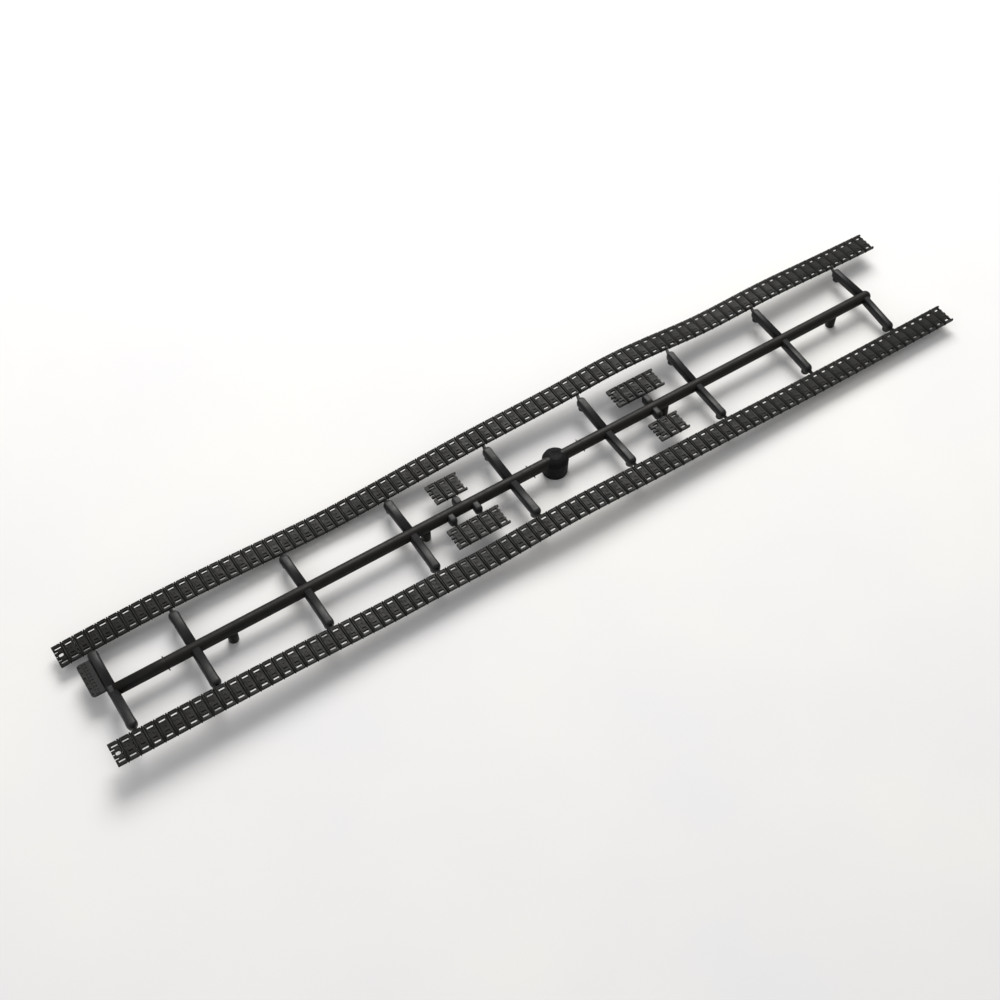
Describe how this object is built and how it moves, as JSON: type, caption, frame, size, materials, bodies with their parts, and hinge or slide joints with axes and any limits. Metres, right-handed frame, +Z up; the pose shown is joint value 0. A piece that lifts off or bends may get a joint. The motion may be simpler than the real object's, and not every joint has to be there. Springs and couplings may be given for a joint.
{
  "type": "model kit track frame",
  "caption": "Moulded plastic kit frame: two long flexible tank tracks and short track sections on a round runner with crossbars, a sprue puck and a label plate.",
  "frame": {"origin": "middle of the whole part along X, the runner's axis across, at the level of the sprue base's foot", "axes": "+X along the runner from the label plate's end to the domed end, +Y towards the far track (the side of the label plate), +Z up"},
  "size_m": [0.2918, 0.0454, 0.0093],
  "materials": {
    "track_plastic": "moulded very dark grey-black plastic, satin",
    "runner_plastic": "moulded very dark warm grey plastic, satin",
    "branch_plastic": "moulded very dark grey plastic, satin flats"
  },
  "bodies": {
    "frame": {"end_crossbar": "branch_plastic", "far_branch_2": "branch_plastic", "far_branch_3": "branch_plastic", "far_branch_4": "branch_plastic", "far_branch_5": "branch_plastic", "far_branch_6": "branch_plastic", "far_branch_7": "branch_plastic", "far_branch_8": "branch_plastic", "far_branch_9": "branch_plastic", "far_section_left": "track_plastic", "far_section_left_gate": "branch_plastic", "far_section_right": "track_plastic", "far_section_right_gate": "branch_plastic", "far_track_links_03_09": "track_plastic", "far_track_links_10_19": "track_plastic", "far_track_links_20_29": "track_plastic", "far_track_links_30_39": "track_plastic", "far_track_links_40_49": "track_plastic", "far_track_links_50_59": "track_plastic", "far_track_links_60_69": "track_plastic", "far_track_links_70_80": "track_plastic", "main_runner": "runner_plastic", "near_branch_2": "branch_plastic", "near_branch_3": "branch_plastic", "near_branch_4": "branch_plastic", "near_branch_5": "branch_plastic", "near_branch_6": "branch_plastic", "near_branch_7": "branch_plastic", "near_branch_8": "branch_plastic", "near_branch_9": "branch_plastic", "near_section_left": "track_plastic", "near_section_left_gate_1": "branch_plastic", "near_section_left_gate_2": "branch_plastic", "near_section_right": "track_plastic", "near_section_right_gate": "branch_plastic", "near_track_links_03_09": "track_plastic", "near_track_links_10_19": "track_plastic", "near_track_links_20_29": "track_plastic", "near_track_links_30_39": "track_plastic", "near_track_links_40_49": "track_plastic", "near_track_links_50_59": "track_plastic", "near_track_links_60_69": "track_plastic", "near_track_links_70_80": "track_plastic", "part_tab": "branch_plastic", "runner_stubs": "runner_plastic", "sprue_puck": "runner_plastic"},
    "far_left_end_link_01": {"far_left_end_link_01": "track_plastic"},
    "far_left_end_link_02": {"far_left_end_link_02": "track_plastic"},
    "far_right_end_link_81": {"far_right_end_link_81": "track_plastic"},
    "far_right_end_link_82": {"far_right_end_link_82": "track_plastic"},
    "far_right_end_link_83": {"far_right_end_link_83": "track_plastic"},
    "far_right_end_link_84": {"far_right_end_link_84": "track_plastic"},
    "far_right_end_link_85": {"far_right_end_link_85": "track_plastic"},
    "near_left_end_link_01": {"near_left_end_link_01": "track_plastic"},
    "near_left_end_link_02": {"near_left_end_link_02": "track_plastic"},
    "near_right_end_link_81": {"near_right_end_link_81": "track_plastic"},
    "near_right_end_link_82": {"near_right_end_link_82": "track_plastic"},
    "near_right_end_link_83": {"near_right_end_link_83": "track_plastic"},
    "near_right_end_link_84": {"near_right_end_link_84": "track_plastic"},
    "near_right_end_link_85": {"near_right_end_link_85": "track_plastic"}
  },
  "joints": [
    {"name": "far_left_flex_02", "type": "hinge", "parent": "frame", "child": "far_left_end_link_02", "pos_m": [-0.13956, 0.0189, 0.00389], "axis": [0, 1, 0], "range_deg": [-15, 15], "stiffness_Nm_per_rad": 0.00032},
    {"name": "far_left_flex_01", "type": "hinge", "parent": "far_left_end_link_02", "child": "far_left_end_link_01", "pos_m": [-0.143, 0.0189, 0.0037], "axis": [0, 1, 0], "range_deg": [-15, 15], "stiffness_Nm_per_rad": 0.00008},
    {"name": "far_right_flex_81", "type": "hinge", "parent": "frame", "child": "far_right_end_link_81", "pos_m": [0.12798, 0.0189, 0.00587], "axis": [0, -1, 0], "range_deg": [-10, 10], "stiffness_Nm_per_rad": 0.002},
    {"name": "far_right_flex_82", "type": "hinge", "parent": "far_right_end_link_81", "child": "far_right_end_link_82", "pos_m": [0.1314, 0.0189, 0.00576], "axis": [0, -1, 0], "range_deg": [-10, 10], "stiffness_Nm_per_rad": 0.00128},
    {"name": "far_right_flex_83", "type": "hinge", "parent": "far_right_end_link_82", "child": "far_right_end_link_83", "pos_m": [0.13484, 0.0189, 0.00566], "axis": [0, -1, 0], "range_deg": [-10, 10], "stiffness_Nm_per_rad": 0.00072},
    {"name": "far_right_flex_84", "type": "hinge", "parent": "far_right_end_link_83", "child": "far_right_end_link_84", "pos_m": [0.13826, 0.0189, 0.00557], "axis": [0, -1, 0], "range_deg": [-10, 10], "stiffness_Nm_per_rad": 0.00032},
    {"name": "far_right_flex_85", "type": "hinge", "parent": "far_right_end_link_84", "child": "far_right_end_link_85", "pos_m": [0.14169, 0.0189, 0.00548], "axis": [0, -1, 0], "range_deg": [-10, 10], "stiffness_Nm_per_rad": 0.00008},
    {"name": "near_left_flex_02", "type": "hinge", "parent": "frame", "child": "near_left_end_link_02", "pos_m": [-0.13897, -0.0189, 0.00812], "axis": [0, 1, 0], "range_deg": [-15, 15], "stiffness_Nm_per_rad": 0.00032},
    {"name": "near_left_flex_01", "type": "hinge", "parent": "near_left_end_link_02", "child": "near_left_end_link_01", "pos_m": [-0.14239, -0.0189, 0.00816], "axis": [0, 1, 0], "range_deg": [-15, 15], "stiffness_Nm_per_rad": 0.00008},
    {"name": "near_right_flex_81", "type": "hinge", "parent": "frame", "child": "near_right_end_link_81", "pos_m": [0.12857, -0.0189, 0.00385], "axis": [0, -1, 0], "range_deg": [-10, 10], "stiffness_Nm_per_rad": 0.002},
    {"name": "near_right_flex_82", "type": "hinge", "parent": "near_right_end_link_81", "child": "near_right_end_link_82", "pos_m": [0.13201, -0.0189, 0.00384], "axis": [0, -1, 0], "range_deg": [-10, 10], "stiffness_Nm_per_rad": 0.00128},
    {"name": "near_right_flex_83", "type": "hinge", "parent": "near_right_end_link_82", "child": "near_right_end_link_83", "pos_m": [0.13543, -0.0189, 0.00383], "axis": [0, -1, 0], "range_deg": [-10, 10], "stiffness_Nm_per_rad": 0.00072},
    {"name": "near_right_flex_84", "type": "hinge", "parent": "near_right_end_link_83", "child": "near_right_end_link_84", "pos_m": [0.13886, -0.0189, 0.00382], "axis": [0, -1, 0], "range_deg": [-10, 10], "stiffness_Nm_per_rad": 0.00032},
    {"name": "near_right_flex_85", "type": "hinge", "parent": "near_right_end_link_84", "child": "near_right_end_link_85", "pos_m": [0.1423, -0.0189, 0.00381], "axis": [0, -1, 0], "range_deg": [-10, 10], "stiffness_Nm_per_rad": 0.00008}
  ],
  "couplings": [
    {"joint": "far_left_flex_01", "follows": "far_left_flex_02", "ratio": 1},
    {"joint": "far_right_flex_82", "follows": "far_right_flex_81", "ratio": 1},
    {"joint": "far_right_flex_83", "follows": "far_right_flex_81", "ratio": 1},
    {"joint": "far_right_flex_84", "follows": "far_right_flex_81", "ratio": 1},
    {"joint": "far_right_flex_85", "follows": "far_right_flex_81", "ratio": 1},
    {"joint": "near_left_flex_01", "follows": "near_left_flex_02", "ratio": 1},
    {"joint": "near_right_flex_82", "follows": "near_right_flex_81", "ratio": 1},
    {"joint": "near_right_flex_83", "follows": "near_right_flex_81", "ratio": 1},
    {"joint": "near_right_flex_84", "follows": "near_right_flex_81", "ratio": 1},
    {"joint": "near_right_flex_85", "follows": "near_right_flex_81", "ratio": 1}
  ]
}
